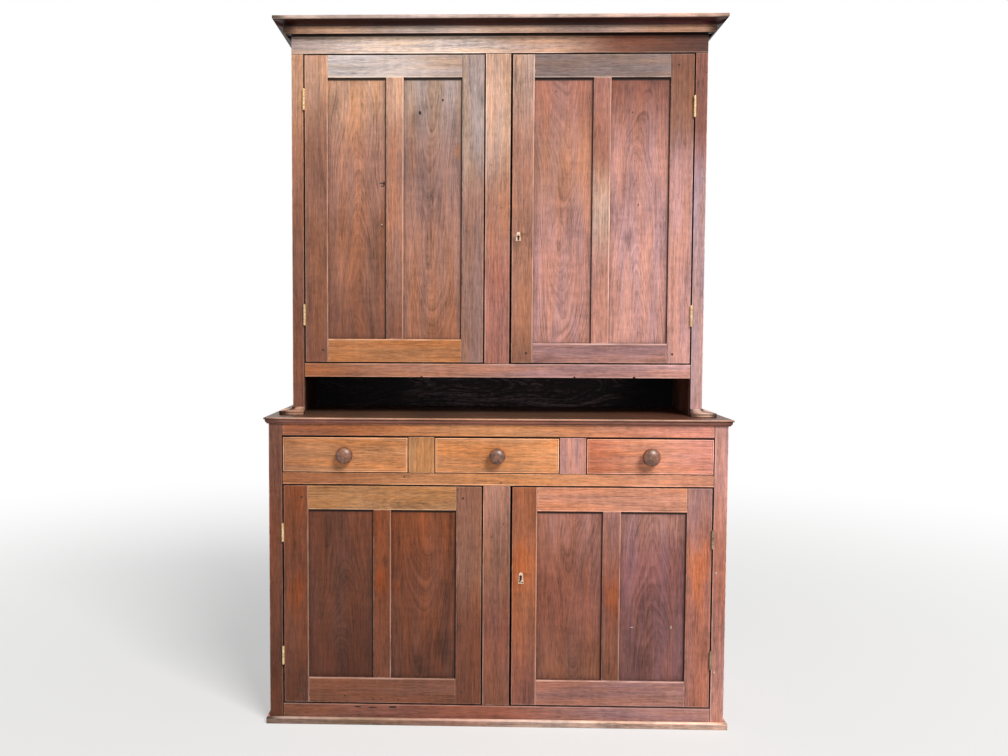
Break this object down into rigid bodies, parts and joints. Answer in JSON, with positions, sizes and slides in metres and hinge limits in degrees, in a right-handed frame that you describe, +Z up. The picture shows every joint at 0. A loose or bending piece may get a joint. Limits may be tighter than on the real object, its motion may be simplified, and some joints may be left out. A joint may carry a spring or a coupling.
{
  "type": "step back cupboard",
  "caption": "Tall wooden step back cupboard: drawers over framed doors in the base, and a shallower upper case with framed doors over an open gap, under a cove cornice.",
  "frame": {"origin": "centre of the footprint of the bounding box, on the floor", "axes": "+Z up, -Y out of the front, +X to the right as seen from the front"},
  "size_m": [1.396, 0.4834, 2.137],
  "materials": {
    "walnut": "old waxed finish, satin, worn at the arrises",
    "panel_walnut": "old waxed finish, satin, cathedral grain",
    "dark_walnut": "dull and worn",
    "secondary_wood": "unfinished, aged, matte",
    "stained_back": "black stained, dry",
    "knob_wood": "dark and glossy from handling",
    "brass": "tarnished, dull",
    "iron": "dull grey"
  },
  "bodies": {
    "case": {"base_back": "secondary_wood", "base_bottom": "secondary_wood", "base_bottom_rail": "walnut", "base_middle_rail": "walnut", "base_moulding": "dark_walnut", "base_mullion": "walnut", "base_shelf": "secondary_wood", "base_side_left": "walnut", "base_side_right": "walnut", "base_stile_left": "walnut", "base_stile_right": "walnut", "base_top_rail": "walnut", "cap_board": "dark_walnut", "cornice": "walnut", "drawer_deck": "secondary_wood", "drawer_divider_left": "walnut", "drawer_divider_right": "walnut", "frieze_rail": "walnut", "ledge_top": "walnut", "upper_back": "stained_back", "upper_bottom": "secondary_wood", "upper_bottom_rail": "walnut", "upper_mullion": "walnut", "upper_shelf": "secondary_wood", "upper_side_left": "walnut", "upper_side_right": "walnut", "upper_stile_left": "walnut", "upper_stile_right": "walnut", "waist_moulding_left": "walnut", "waist_moulding_right": "walnut"},
    "upper_left_door": {"upper_left_door_frame": "walnut", "upper_left_door_hinge_bottom": "brass", "upper_left_door_hinge_top": "brass", "upper_left_door_panel_inner": "panel_walnut", "upper_left_door_panel_outer": "panel_walnut"},
    "upper_right_door": {"upper_right_door_frame": "walnut", "upper_right_door_hinge_bottom": "brass", "upper_right_door_hinge_top": "brass", "upper_right_door_lock": "brass", "upper_right_door_panel_inner": "panel_walnut", "upper_right_door_panel_outer": "panel_walnut"},
    "lower_left_door": {"lower_left_door_frame": "walnut", "lower_left_door_hinge_bottom": "brass", "lower_left_door_hinge_top": "brass", "lower_left_door_panel_inner": "panel_walnut", "lower_left_door_panel_outer": "panel_walnut"},
    "lower_right_door": {"lower_right_door_frame": "walnut", "lower_right_door_hinge_bottom": "brass", "lower_right_door_hinge_top": "brass", "lower_right_door_lock": "brass", "lower_right_door_panel_inner": "panel_walnut", "lower_right_door_panel_outer": "panel_walnut"},
    "left_drawer": {"drawer_left": "walnut", "knob_left": "knob_wood"},
    "middle_drawer": {"drawer_middle": "walnut", "knob_middle": "knob_wood"},
    "right_drawer": {"drawer_right": "walnut", "knob_right": "knob_wood"},
    "upper_bolt": {"upper_right_door_bolt": "iron"},
    "lower_bolt": {"lower_right_door_bolt": "iron"}
  },
  "joints": [
    {"name": "upper_left_door_swing", "type": "hinge", "parent": "case", "child": "upper_left_door", "pos_m": [-0.59375, -0.09765, 1.5], "axis": [0, 0, -1], "range_deg": [0, 180]},
    {"name": "upper_right_door_swing", "type": "hinge", "parent": "case", "child": "upper_right_door", "pos_m": [0.59375, -0.09765, 1.5], "axis": [0, 0, 1], "range_deg": [0, 180]},
    {"name": "lower_left_door_swing", "type": "hinge", "parent": "case", "child": "lower_left_door", "pos_m": [-0.64275, -0.20765, 0.4], "axis": [0, 0, -1], "range_deg": [0, 180]},
    {"name": "lower_right_door_swing", "type": "hinge", "parent": "case", "child": "lower_right_door", "pos_m": [0.64275, -0.20765, 0.4], "axis": [0, 0, 1], "range_deg": [0, 180]},
    {"name": "left_drawer_slide", "type": "slide", "parent": "case", "child": "left_drawer", "axis": [0, -1, 0], "range_m": [0, 0.3]},
    {"name": "middle_drawer_slide", "type": "slide", "parent": "case", "child": "middle_drawer", "axis": [0, -1, 0], "range_m": [0, 0.3]},
    {"name": "right_drawer_slide", "type": "slide", "parent": "case", "child": "right_drawer", "axis": [0, -1, 0], "range_m": [0, 0.3]},
    {"name": "upper_bolt_slide", "type": "slide", "parent": "upper_right_door", "child": "upper_bolt", "axis": [-1, 0, 0], "range_m": [0, 0.011]},
    {"name": "lower_bolt_slide", "type": "slide", "parent": "lower_right_door", "child": "lower_bolt", "axis": [-1, 0, 0], "range_m": [0, 0.011]}
  ]
}
